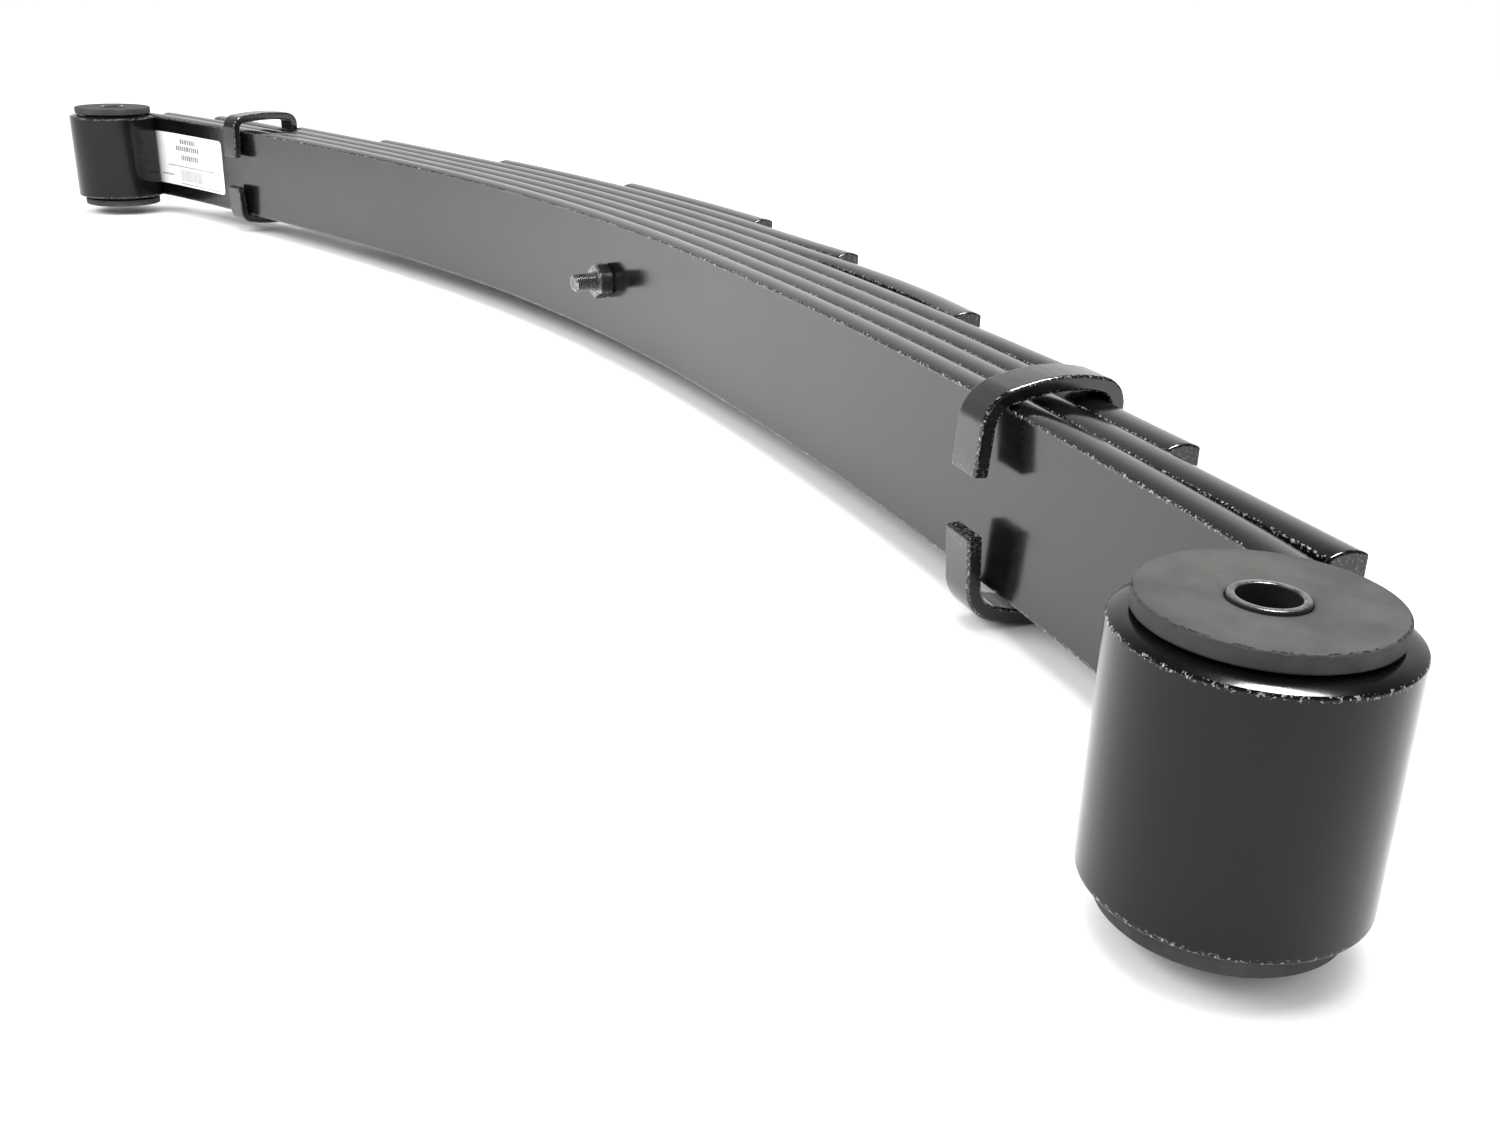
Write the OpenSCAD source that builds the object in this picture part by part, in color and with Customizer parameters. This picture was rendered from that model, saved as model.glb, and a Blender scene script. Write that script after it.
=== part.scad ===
// Multi-leaf spring, lying on its side: X runs along it, Y through the stack of leaves, Z across
// their width. The origin is on the spring seat, where the centre bolt's head leaves the last leaf.
// The leaves are counted from the main leaf, on the hollow side (-Y), to the shortest one (+Y).

/* [Leaves] */
// Width of every leaf
leaf_w = 76.2; // [74:0.1:78]
// Thickness of every leaf
leaf_t = 14; // [13:0.1:14.4]
// Paint film between two leaves
film_t = 0.2; // [0.1:0.05:0.3]
// Crown radius of the rolled leaf edges
crown_r = 14; // [12:0.5:20]

/* [Camber] */
// Radius of the main leaf's hollow face over the seat
seat_r = 1600; // [1500:10:1800]
// Length bent to that radius in front of the centre bolt
seat_front = 125; // [120:1:130]
// Length bent to that radius behind the centre bolt
seat_rear = 273; // [268:1:278]
// Radius of the main leaf's hollow face in the front arm
front_r = 2840; // [2700:10:3000]
// Radius of the main leaf's hollow face in the rear arm
rear_r = 3240; // [3100:10:3400]
// Radius of the third and later leaves in the rear arm, flatter than the main leaf
rear_loose_r = 4700; // [4400:50:5000]
// Radius of the short bend that leads into each eye
lead_r = 485; // [450:5:520]
// Length of that bend
lead_len = 68; // [60:1:74]

/* [Eyes and bushes] */
// Length of the main leaf in front of the bolt, to the start of its eye
front_arm = 642; // [636:1:648]
// Length of the main leaf behind the bolt, to the start of its eye
rear_arm = 763; // [757:1:769]
// Radius of the bore that each eye is rolled to
eye_r = 24.8; // [24:0.1:25.2]
// Angle that each eye is rolled through
eye_wrap = 305; // [290:1:306]
// Radius of the bush flanges
flange_r = 33.5; // [32:0.5:35]
// Thickness of the bush flanges
flange_t = 5.6; // [4.5:0.1:6]
// Height of a flange face above the middle of the leaf
flange_top = 44.6; // [44.2:0.1:45.4]
// Outer radius of the bush sleeves
sleeve_r = 10.5; // [10:0.1:11]
// Bore radius of the bush sleeves, for a 5/8 in bolt
sleeve_bore_r = 8; // [7.8:0.05:8.2]
// Length of the bush sleeves
sleeve_len = 90.2; // [90:0.1:91]

/* [Centre bolt] */
// Radius of the centre bolt, 7/16 in
bolt_r = 5.55; // [5:0.05:5.8]
// Radius of the round head that locates the axle
head_r = 9.5; // [9:0.1:11]
// Height of that head
head_h = 11; // [9:0.5:13]
// Length of the bolt that stands out of the main leaf
bolt_out = 23.5; // [18:0.5:28]
// Distance across the nut's flats
nut_flats = 19.05; // [18:0.05:20]
// Height of the nut
nut_h = 9.2; // [8:0.1:10]
// Pitch of the thread
thread_pitch = 1.27; // [1.2:0.01:1.6]

/* [Clips] */
// Width of the clip straps, 3/4 in
strap_w = 19.05; // [18:0.05:20]
// Thickness of the clip straps, 1/4 in
strap_t = 6.35; // [5.5:0.05:6.5]
// Distance of the front clip from the bolt, along the main leaf
front_clip_at = 436; // [434:1:438]
// Distance of the rear clip from the bolt, along the main leaf
rear_clip_at = 581; // [580:1:584]
// Height of the front clip across the leaves, outside
front_clip_h = 101; // [100:0.1:102]
// Height of the rear clip across the leaves, outside
rear_clip_h = 97.5; // [97.5:0.1:99]
// Distance that the front clip sits below the middle of the leaves
front_clip_drop = 2.5; // [2:0.1:2.8]
// Distance that the rear clip sits below the middle of the leaves
rear_clip_drop = -3; // [-3:0.1:-2.5]
// Gap between the root of the front clip's arms and the main leaf
front_arm_gap = 5.4; // [5:0.1:6]
// Gap between the root of the rear clip's arms and the main leaf
rear_arm_gap = 3; // [2.5:0.1:4]
// Distance that each arm's end stands further off the main leaf than its root
splay = 1.4; // [0:0.1:2]

/* [Label] */
// Length of the label
label_len = 121; // [110:1:122]
// Height of the label
label_h = 48; // [44:1:52]
// Distance of the label's middle from the bolt, along the main leaf
label_at = 676; // [674:1:678]

/* [Hidden] */
leaf_count = 7;
pitch = leaf_t + film_t;
stack_h = leaf_count * pitch - film_t;
// Length of each leaf in front of the bolt and behind it, first to last
front_tips = [front_arm, 603, 503, 421, 293, 156, 34];
rear_tips = [rear_arm, 747, 693, 568, 446, 282, 133];
// Where the second and third leaves, and the fourth, run straight in the front arm
front_straight_at = 462;
fourth_straight_at = 304;
// The fifth leaf lifts off the fourth on one bend and comes back to it on a second
fifth_lift_at = 91;
fifth_lift_len = 85;
fifth_lift_r = -2900;
fifth_return_r = 529;
// The sixth leaf bends away from the fifth
sixth_lift_at = 60;
sixth_lift_r = -2500;
crown_half_turn = asin(leaf_t / 2 / crown_r);
crown_steps = 4;
step_len = 20;
step_turn = 5;
hole_r = bolt_r + 0.4;
running_gap = 0.05;
bush_edge_r = 1.3;
thread_depth = 0.75;
thread_len = 34;
strap_slack = 0.6;
// Shape of each clip: bend radii inside at its arms and at its back, and rise of its arch
front_clip_shape = [10.5, 5.5, 3];
rear_clip_shape = [4.5, 3.5, 2];
rivet_r = 4.75;
rivet_head_r = 8.5;
rivet_head_h = 5;
rivet_sink_h = 3.4;
label_t = 0.3;
label_glue_t = 0.15;
label_corner_r = 4;
label_drop = 0.5;
far_out = 200;

// A path is a list of pieces [length, radius], both taken on the main leaf's hollow face, from
// the bolt outwards. Radius 0 is straight, and a negative radius bends away from the hollow side.
// A depth is how far behind that face another face lies. A state is [x, y, heading down from +X].
function turn(piece) = piece[1] == 0 ? 0 : piece[0] / piece[1] * 180 / PI;

function centre(state, r) = [state.x - r * sin(state.z), state.y - r * cos(state.z)];

function run(state, piece) =
    [state.x + piece[0] * cos(state.z), state.y - piece[0] * sin(state.z), state.z];

function bend(state, piece, r) =
    let (c = centre(state, r), heading = state.z + turn(piece))
    [c.x + r * sin(heading), c.y + r * cos(heading), heading];

function advance(state, piece, depth) =
    piece[1] == 0 ? run(state, piece) : bend(state, piece, piece[1] + depth);

function state_at(path, i, depth) =
    i == 0 ? [0, depth - stack_h, 0] : advance(state_at(path, i - 1, depth), path[i - 1], depth);

function end_of(path) = state_at(path, len(path), 0);

// The paths of the leaves
eye_piece = [eye_r * eye_wrap * PI / 180, eye_r];
lead_piece = [lead_len, lead_r];

function plain_front(to) = [[seat_front, seat_r], [to - seat_front, front_r]];
function plain_rear(to) = [[seat_rear, seat_r], [to - seat_rear, rear_r]];

function front_path(n) =
    let (tip = front_tips[n - 1])
    n == 1 ? concat(plain_front(tip - lead_len), [lead_piece, eye_piece]) :
    n <= 3 ? concat(plain_front(front_straight_at), [[tip - front_straight_at, 0]]) :
    n == 4 ? concat(plain_front(fourth_straight_at), [[tip - fourth_straight_at, 0]]) :
    n == 5 ? [[fifth_lift_at, seat_r], [fifth_lift_len, fifth_lift_r],
              [tip - fifth_lift_at - fifth_lift_len, fifth_return_r]] :
    n == 6 ? [[sixth_lift_at, seat_r], [tip - sixth_lift_at, sixth_lift_r]] :
    [[tip, seat_r]];

function rear_path(n) =
    let (tip = rear_tips[n - 1])
    n == 1 ? concat(plain_rear(tip - lead_len), [lead_piece, eye_piece]) :
    n == 2 ? plain_rear(tip) :
    n < 7 ? [[seat_rear, seat_r], [tip - seat_rear, rear_loose_r]] :
    [[tip, seat_r]];

front_eye = centre(end_of(concat(plain_front(front_arm - lead_len), [lead_piece])), eye_r);
rear_eye = centre(end_of(concat(plain_rear(rear_arm - lead_len), [lead_piece])), eye_r);

// How far a leaf has lifted off the main leaf after running for a length at its own curvature
function lift(length, curvature, own_curvature) = (curvature - own_curvature) * length * length / 2;

// Depths of the third leaf's hollow face at the two clips that are riveted to it
front_clip_face = 2 * pitch;
rear_clip_face = 2 * pitch + lift(rear_clip_at - seat_rear, 1 / rear_r, 1 / rear_loose_r);

// Outline of a leaf's cross-section: [distance behind the hollow face, height], crowned edges
function crown_point(side, angle) =
    [leaf_t / 2 + crown_r * sin(angle), side * (leaf_w / 2 - crown_r + crown_r * cos(angle))];

section = [
    for (side = [1, -1], i = [0 : crown_steps])
        crown_point(side, side * crown_half_turn * (2 * i / crown_steps - 1))
];

// Stations along a path: each piece is cut into steps short enough to look round
function steps_of(piece) = ceil(max(piece[0] / step_len, abs(turn(piece)) / step_turn));

function inside(path, i, depth) =
    let (steps = steps_of(path[i]), start = state_at(path, i, depth))
    [for (k = [1 : steps]) advance(start, [path[i][0] * k / steps, path[i][1]], depth)];

function arm_states(path, depth) = [for (i = [0 : len(path) - 1]) each inside(path, i, depth)];

function reversed(list) = [for (i = [len(list) - 1 : -1 : 0]) list[i]];

// A ring is the section's outline standing on a state, mirrored for the rear arm
function ring(state, side) =
    [for (p = section) [
        side * (state.x + p.x * sin(state.z)), state.y + p.x * cos(state.z), p.y
    ]];

function leaf_rings(n) =
    let (depth = (n - 1) * pitch)
    concat(
        [for (state = reversed(arm_states(rear_path(n), depth))) ring(state, -1)],
        [ring([0, depth - stack_h, 0], 1)],
        [for (state = arm_states(front_path(n), depth)) ring(state, 1)]
    );

// Closed skin over a list of rings
module skin(rings) {
    count = len(rings[0]);
    last = (len(rings) - 1) * count;
    polyhedron(
        points = [for (r = rings) each r],
        faces = concat(
            [[for (k = [0 : count - 1]) k]],
            [for (j = [0 : len(rings) - 2], k = [0 : count - 1])
                let (a = j * count + k, b = j * count + (k + 1) % count)
                each [[a, a + count, b + count], [a, b + count, b]]],
            [[for (k = [count - 1 : -1 : 0]) last + k]]
        )
    );
}

// Puts children at the end of a path: X along the leaf, Y through the stack, Y = 0 on its face
module on_path(path) {
    place = end_of(path);
    translate([place.x, place.y])
        rotate(-place.z)
            children();
}

module at_front_clip() {
    on_path(plain_front(front_clip_at))
        children();
}

module at_rear_clip() {
    mirror([1, 0, 0])
        on_path(plain_rear(rear_clip_at))
            children();
}

// Turns children that stand along Z so that they stand along Y
module along_y() {
    rotate([-90, 0, 0])
        children();
}

module leaf(n) {
    color([0.07, 0.07, 0.08])
        difference() {
            skin(leaf_rings(n));
            along_y()
                cylinder(h = 2 * far_out, r = hole_r, center = true, $fn = 64);
            if (n == 3) {
                at_front_clip()
                    rivet(front_clip_face, rivet_r + 0.1);
                at_rear_clip()
                    rivet(rear_clip_face, rivet_r + 0.1);
            }
        }
}

// Countersunk rivet from a leaf's hollow face through its back and the strap, with a domed head
module rivet(face, r) {
    grip = leaf_t + strap_slack + strap_t;
    dome_r = (rivet_head_r * rivet_head_r + rivet_head_h * rivet_head_h) / (2 * rivet_head_h);
    translate([0, face, 0])
        along_y() {
            cylinder(h = grip + 0.5, r = r, $fn = 48);
            cylinder(h = rivet_sink_h, r1 = r + rivet_sink_h, r2 = r, $fn = 48);
            intersection() {
                translate([0, 0, grip + rivet_head_h - dome_r])
                    sphere(r = dome_r, $fn = 64);
                translate([0, 0, grip])
                    cylinder(h = rivet_head_h, r = rivet_head_r, $fn = 64);
            }
        }
}

module centre_bolt() {
    shank_end = -stack_h - bolt_out;
    tip_h = 1.2;
    thread_count = floor(thread_len / thread_pitch);
    thread_start = shank_end + tip_h;
    color([0.05, 0.05, 0.055])
        along_y()
            rotate_extrude($fn = 64)
                polygon(concat(
                    [[0, shank_end], [bolt_r - tip_h, shank_end]],
                    [for (i = [0 : thread_count - 1])
                        each [
                            [bolt_r - thread_depth, thread_start + i * thread_pitch],
                            [bolt_r, thread_start + (i + 0.5) * thread_pitch]
                        ]],
                    [[bolt_r, 0], [head_r, 0], [head_r, head_h - 1], [head_r - 1, head_h], [0, head_h]]
                ));
}

module centre_nut() {
    corner_r = nut_flats / sqrt(3);
    bevel = corner_r - nut_flats / 2 + 0.3;
    color([0.05, 0.05, 0.055])
        translate([0, -stack_h - film_t - nut_h, 0])
            along_y()
                difference() {
                    intersection() {
                        rotate(90)
                            cylinder(h = nut_h, r = corner_r, $fn = 6);
                        rotate_extrude($fn = 64)
                            polygon([
                                [0, 0], [corner_r - bevel, 0], [corner_r + 0.1, bevel * 0.6],
                                [corner_r + 0.1, nut_h - bevel * 0.6], [corner_r - bevel, nut_h],
                                [0, nut_h]
                            ]);
                    }
                    translate([0, 0, -1])
                        cylinder(h = nut_h + 2, r = bolt_r + running_gap, $fn = 64);
                }
}

module rounded(x0, x1, y0, y1, r) {
    translate([x0 + r, y0])
        square([x1 - x0 - 2 * r, y1 - y0]);
    translate([x0, y0 + r])
        square([x1 - x0, y1 - y0 - 2 * r]);
    for (x = [x0 + r, x1 - r], y = [y0 + r, y1 - r])
        translate([x, y])
            circle(r = r, $fn = 64);
}

// Outline inside a clip's bends, grown by a distance: low at the arms, arched over the leaves
module strap_bore(back, shape, h, arm_gap, grown) {
    arm_r = shape[0];
    back_r = shape[1];
    arch_h = shape[2];
    top = h / 2 - strap_t;
    hull()
        for (side = [-1, 1]) {
            translate([arm_r - arm_gap, side * (top - arch_h - arm_r)])
                circle(r = arm_r + grown, $fn = 64);
            translate([back / 2, side * (top - back_r)])
                circle(r = back_r + grown, $fn = 64);
            translate([back + strap_slack - back_r, side * (top - arch_h / 2 - back_r)])
                circle(r = back_r + grown, $fn = 64);
        }
}

// Arm of a clip, from the end of its bend at height root to its tip, beside a gap
module clip_arm(arm_gap, root, tip) {
    outline = [
        [-arm_gap, root], [-arm_gap - strap_t, root],
        [-arm_gap - strap_t - splay, tip], [-arm_gap - splay, tip]
    ];
    polygon(tip > root ? reversed(outline) : outline);
}

// Strap bent round the stack from its back, both ends folded over the main leaf
module clip(back, shape, h, arm_gap, drop, upper_tip, lower_tip) {
    root = h / 2 - strap_t - shape[0] - shape[2];
    stub_h = 1;
    cut_x = -arm_gap - 2 * strap_t;
    color([0.06, 0.06, 0.065])
        difference() {
            rotate([90, 0, 90])
                translate([0, 0, -strap_w / 2])
                    linear_extrude(strap_w) {
                        translate([0, -drop])
                            difference() {
                                strap_bore(back, shape, h, arm_gap, strap_t);
                                strap_bore(back, shape, h, arm_gap, 0);
                                translate([cut_x, stub_h - root])
                                    square([-cut_x, 2 * (root - stub_h)]);
                            }
                        clip_arm(arm_gap, root - drop, upper_tip);
                        clip_arm(arm_gap, -root - drop, lower_tip);
                    }
            translate([0, back, 0])
                along_y()
                    cylinder(h = 2 * strap_t, r = rivet_r + 0.1, $fn = 48);
        }
}

module front_clip() {
    at_front_clip()
        clip(front_clip_face + leaf_t, front_clip_shape, front_clip_h, front_arm_gap,
             front_clip_drop, 10.5, -13);
}

module rear_clip() {
    at_rear_clip()
        clip(rear_clip_face + leaf_t, rear_clip_shape, rear_clip_h, rear_arm_gap,
             rear_clip_drop, 14, -12);
}

module front_clip_rivet() {
    color([0.06, 0.06, 0.065])
        at_front_clip()
            rivet(front_clip_face, rivet_r);
}

module rear_clip_rivet() {
    color([0.06, 0.06, 0.065])
        at_rear_clip()
            rivet(rear_clip_face, rivet_r);
}

// Half of a flanged rubber bush, pressed into the eye from one side
module bush_half(side) {
    inner_r = sleeve_r + running_gap;
    split = 0.5;
    color([0.2, 0.2, 0.2])
        mirror([0, 0, side > 0 ? 0 : 1])
            rotate_extrude($fn = 96)
                difference() {
                    union() {
                        translate([inner_r, split])
                            square([eye_r - inner_r, flange_top - flange_t / 2 - split]);
                        rounded(inner_r - bush_edge_r, flange_r,
                                flange_top - flange_t, flange_top, bush_edge_r);
                    }
                    square([inner_r, flange_top + 1]);
                }
}

module sleeve() {
    bevel = 0.6;
    color([0.09, 0.09, 0.095])
        rotate_extrude($fn = 96)
            polygon([
                [sleeve_bore_r, -sleeve_len / 2], [sleeve_r - bevel, -sleeve_len / 2],
                [sleeve_r, bevel - sleeve_len / 2], [sleeve_r, sleeve_len / 2 - bevel],
                [sleeve_r - bevel, sleeve_len / 2], [sleeve_bore_r, sleeve_len / 2]
            ]);
}

module in_front_eye() {
    translate(front_eye)
        children();
}

module in_rear_eye() {
    translate([-rear_eye.x, rear_eye.y])
        children();
}

// Sticker on the main leaf's hollow face, behind the rear clip; it follows the bend to the eye
function face_state(at) =
    let (bend_at = rear_arm - lead_len)
    at <= bend_at ? end_of(plain_rear(at)) :
    advance(end_of(plain_rear(bend_at)), [at - bend_at, lead_r], 0);

function label_half_h(from_end) =
    let (past = max(0, label_corner_r - from_end))
    label_h / 2 - label_corner_r + sqrt(label_corner_r * label_corner_r - past * past);

function label_ring(at) =
    let (
        state = face_state(at),
        half_h = label_half_h(label_len / 2 - abs(at - label_at)),
        outline = [
            [-label_glue_t - label_t, half_h], [-label_glue_t, half_h],
            [-label_glue_t, -half_h], [-label_glue_t - label_t, -half_h]
        ]
    )
    [for (p = outline) [
        -state.x - p.x * sin(state.z), state.y + p.x * cos(state.z), p.y - label_drop
    ]];

module label() {
    corner = [0, 0.25, 0.8, 1.8, label_corner_r];
    offsets = concat(
        [for (d = corner) d - label_len / 2],
        [for (d = [2 * label_corner_r : label_corner_r : label_len - 2 * label_corner_r])
            d - label_len / 2],
        [for (d = reversed(corner)) label_len / 2 - d]
    );
    color([0.93, 0.93, 0.92])
        skin(reversed([for (d = offsets) label_ring(label_at + d)]));
}

leaf(1);  // main_leaf
leaf(2);  // leaf_2
leaf(3);  // leaf_3
leaf(4);  // leaf_4
leaf(5);  // leaf_5
leaf(6);  // leaf_6
leaf(7);  // leaf_7
centre_bolt();
centre_nut();
front_clip();
front_clip_rivet();
rear_clip();
rear_clip_rivet();
in_front_eye() bush_half(1);  // front_bush_upper_half
in_front_eye() bush_half(-1);  // front_bush_lower_half
in_front_eye() sleeve();  // front_bush_sleeve
in_rear_eye() bush_half(1);  // rear_bush_upper_half
in_rear_eye() bush_half(-1);  // rear_bush_lower_half
in_rear_eye() sleeve();  // rear_bush_sleeve
label();
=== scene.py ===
import math

import bpy
from mathutils import Matrix, Vector, geometry, noise


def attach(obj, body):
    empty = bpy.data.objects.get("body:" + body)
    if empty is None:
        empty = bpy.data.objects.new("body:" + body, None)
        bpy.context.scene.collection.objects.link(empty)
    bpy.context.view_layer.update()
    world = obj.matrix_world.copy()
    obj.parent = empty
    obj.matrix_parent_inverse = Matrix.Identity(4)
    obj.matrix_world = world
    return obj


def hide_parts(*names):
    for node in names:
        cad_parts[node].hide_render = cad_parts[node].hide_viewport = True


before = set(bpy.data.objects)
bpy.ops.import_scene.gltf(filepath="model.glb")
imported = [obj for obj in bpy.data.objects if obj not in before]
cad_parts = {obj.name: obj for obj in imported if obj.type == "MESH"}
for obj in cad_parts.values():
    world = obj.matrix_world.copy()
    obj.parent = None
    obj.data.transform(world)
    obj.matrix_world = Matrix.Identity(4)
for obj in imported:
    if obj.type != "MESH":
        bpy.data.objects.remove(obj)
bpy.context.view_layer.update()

# ---------------------------------------------------------------- dimensions, mm
MM = 0.001
LEAF_W, LEAF_T, FILM_T, CROWN_R = 76.2, 14.0, 0.2, 14.0
LEAF_COUNT = 7
PITCH = LEAF_T + FILM_T
STACK_H = LEAF_COUNT * PITCH - FILM_T
SEAT_R, SEAT_FRONT, SEAT_REAR = 1600.0, 125.0, 273.0
FRONT_R, REAR_R, REAR_LOOSE_R = 2840.0, 3240.0, 4700.0
LEAD_R, LEAD_LEN = 485.0, 68.0
FRONT_TIPS = [642, 603, 503, 421, 293, 156, 34]
REAR_TIPS = [763, 747, 693, 568, 446, 282, 133]
FRONT_STRAIGHT_AT, FOURTH_STRAIGHT_AT = 462.0, 304.0
FIFTH_LIFT_AT, FIFTH_LIFT_LEN, FIFTH_LIFT_R, FIFTH_RETURN_R = 91.0, 85.0, -2900.0, 529.0
SIXTH_LIFT_AT, SIXTH_LIFT_R = 60.0, -2500.0
EYE_R, EYE_WRAP = 24.8, 305.0
FLANGE_R, FLANGE_T, FLANGE_TOP = 33.5, 5.6, 44.6
SLEEVE_R, SLEEVE_BORE_R, SLEEVE_LEN = 10.5, 8.0, 90.2
BOLT_R, HEAD_R, HEAD_H, BOLT_OUT = 5.55, 9.5, 11.0, 23.5
NUT_FLATS, NUT_H, THREAD_PITCH, THREAD_DEPTH, THREAD_LEN = 19.05, 9.2, 1.27, 0.75, 34.0
STRAP_W, STRAP_T, STRAP_SLACK = 19.05, 6.35, 0.6
# Shape of each clip: bend radii inside at its arms and at its back, and rise of its arch
FRONT_CLIP_SHAPE, REAR_CLIP_SHAPE = (10.5, 5.5, 3.0), (4.5, 3.5, 2.0)
FRONT_CLIP_AT, REAR_CLIP_AT = 436.0, 581.0
FRONT_CLIP_H, REAR_CLIP_H, FRONT_CLIP_DROP, REAR_CLIP_DROP = 101.0, 97.5, 2.5, -3.0
FRONT_ARM_GAP, REAR_ARM_GAP, SPLAY = 5.4, 3.0, 1.4
# Height at which each clip's upper and lower arm end
FRONT_ARM_TIPS, REAR_ARM_TIPS = (10.5, -13.0), (14.0, -12.0)
STRAP_FILLET, STRAP_BEVEL = 1.3, 1.2
RIVET_HEAD_R, RIVET_HEAD_H, RIVET_SHANK_R, RIVET_EDGE = 8.5, 5.0, 4.7, 0.35
LABEL_LEN, LABEL_H, LABEL_AT, LABEL_DROP = 121.0, 48.0, 676.0, 0.5
LABEL_T, LABEL_GLUE_T, LABEL_CORNER_R, INK_PROUD = 0.3, 0.15, 4.0, 0.03
# Rows of dashes printed on the label, from its middle: left, right, bottom, top, seed
HEADING_ROWS = (
    (-16, 12, 15.0, 19.5, 1.1),
    (-24, 18, 8.5, 13.2, 2.3),
    (-16, 15, 0.0, 5.0, 3.7),
    (-40, 42, -6.6, -5.2, 4.9),
)
SMALL_ROWS = (
    (-52, -32, -15.6, -14.2, 5.3),
    (-20, 22, -22.6, -21.2, 6.1),
    (26, 50, -22.6, -21.4, 8.9),
)
UPRIGHTS_LEFT, UPRIGHTS_RIGHT, UPRIGHTS_LOW, UPRIGHTS_TOP = -19.0, 19, -19.5, -8.6
FLOOR_Z = -FRONT_CLIP_H / 2 - FRONT_CLIP_DROP
EDGE_FILLET, LEAF_BEVEL = 1.1, 1.0
# How far past a corner's fillet its wear fades out over the flat face
WEAR_REACH = 0.8
# Steps that round off the end of a leaf or a strap
BEVEL_STEPS = 3
BODY = "spring_pack"

# ---------------------------------------------------------------- light and camera, m and W
BRIGHT_WALL, DIM_ROOM, DARK_CEILING = 1.2, 0.25, 0.15
WALL_TOWARDS = (-0.85, 0.52, 0)
SKY_ENERGY, SKY_ANGLE = 2.9, 150
FLOOR_HALF = 60.0
CAMERA_AT, LENS_MM, SENSOR_MM = (0.8465, -0.5044, 0.1855), 35.7, 36
AZIMUTH, ELEVATION, ROLL = 58.61, 21.82, 1.73

# ---------------------------------------------------------------- colours
PAINT_DARK, PAINT_LIGHT = (0.002, 0.002, 0.0025), (0.004, 0.004, 0.005)
PAINT_BLACK = (0.005, 0.005, 0.006)
BARE_STEEL, WORN_STEEL = (0.4, 0.4, 0.39), (0.5, 0.5, 0.49)
BOLT_BLACK, DUST = (0.014, 0.014, 0.016), (0.07, 0.07, 0.068)
PAPER_DARK, PAPER_LIGHT = (0.8, 0.8, 0.79), (0.9, 0.9, 0.89)
INK_DARK, INK_FADED = (0.06, 0.06, 0.07), (0.3, 0.3, 0.31)
RUBBER_DARK, RUBBER_BLOOM, RUBBER_NICK = (0.034, 0.034, 0.033), (0.062, 0.062, 0.058), (0.008,) * 3


# ---------------------------------------------------------------- leaf paths
def turn(piece):
    """Angle that a piece (length, radius) bends through. A radius of 0 means straight."""
    return 0.0 if piece[1] == 0 else piece[0] / piece[1]


def advance(state, piece, depth):
    """State (x, y, heading below +X) after a piece (length, radius), at a depth behind the face."""
    x, y, h = state
    if piece[1] == 0:
        return (x + piece[0] * math.cos(h), y - piece[0] * math.sin(h), h)
    r = piece[1] + depth
    cx, cy = x - r * math.sin(h), y - r * math.cos(h)
    h += turn(piece)
    return (cx + r * math.sin(h), cy + r * math.cos(h), h)


def plain_front(to):
    """Front arm of the fully bedded leaves, up to a distance from the centre bolt."""
    return [(SEAT_FRONT, SEAT_R), (to - SEAT_FRONT, FRONT_R)]


def plain_rear(to):
    """The same for the rear arm."""
    return [(SEAT_REAR, SEAT_R), (to - SEAT_REAR, REAR_R)]


EYE_PIECE = (EYE_R * math.radians(EYE_WRAP), EYE_R)


def front_path(n):
    """Pieces of leaf n's front arm. Leaves 5 and 6 bow away from the leaf before them."""
    tip = FRONT_TIPS[n - 1]
    if n == 1:
        return plain_front(tip - LEAD_LEN) + [(LEAD_LEN, LEAD_R), EYE_PIECE]
    if n <= 3:
        return plain_front(FRONT_STRAIGHT_AT) + [(tip - FRONT_STRAIGHT_AT, 0)]
    if n == 4:
        return plain_front(FOURTH_STRAIGHT_AT) + [(tip - FOURTH_STRAIGHT_AT, 0)]
    if n == 5:
        back = tip - FIFTH_LIFT_AT - FIFTH_LIFT_LEN
        return [(FIFTH_LIFT_AT, SEAT_R), (FIFTH_LIFT_LEN, FIFTH_LIFT_R), (back, FIFTH_RETURN_R)]
    if n == 6:
        return [(SIXTH_LIFT_AT, SEAT_R), (tip - SIXTH_LIFT_AT, SIXTH_LIFT_R)]
    return [(tip, SEAT_R)]


def rear_path(n):
    """Pieces of leaf n's rear arm, drawn as if it ran towards +X."""
    tip = REAR_TIPS[n - 1]
    if n == 1:
        return plain_rear(tip - LEAD_LEN) + [(LEAD_LEN, LEAD_R), EYE_PIECE]
    if n == 2:
        return plain_rear(tip)
    if n < LEAF_COUNT:
        return [(SEAT_REAR, SEAT_R), (tip - SEAT_REAR, REAR_LOOSE_R)]
    return [(tip, SEAT_R)]


def end_of(path, depth=0.0):
    """State at the end of a path."""
    state = (0.0, depth - STACK_H, 0.0)
    for piece in path:
        state = advance(state, piece, depth)
    return state


def stations(path, depth, step=6.0, step_turn=math.radians(3)):
    """States along a path, close enough together to look round."""
    state = (0.0, depth - STACK_H, 0.0)
    out = []
    for piece in path:
        count = max(2, math.ceil(max(piece[0] / step, abs(turn(piece)) / step_turn)))
        out += [advance(state, (piece[0] * k / count, piece[1]), depth) for k in range(1, count + 1)]
        state = advance(state, piece, depth)
    return out


def eye_centre(path):
    x, y, h = end_of(path[:-1])
    return (x - EYE_R * math.sin(h), y - EYE_R * math.cos(h))


FRONT_CENTRE = eye_centre(front_path(1))
rear_x, rear_y = eye_centre(rear_path(1))
REAR_CENTRE = (-rear_x, rear_y)


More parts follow.
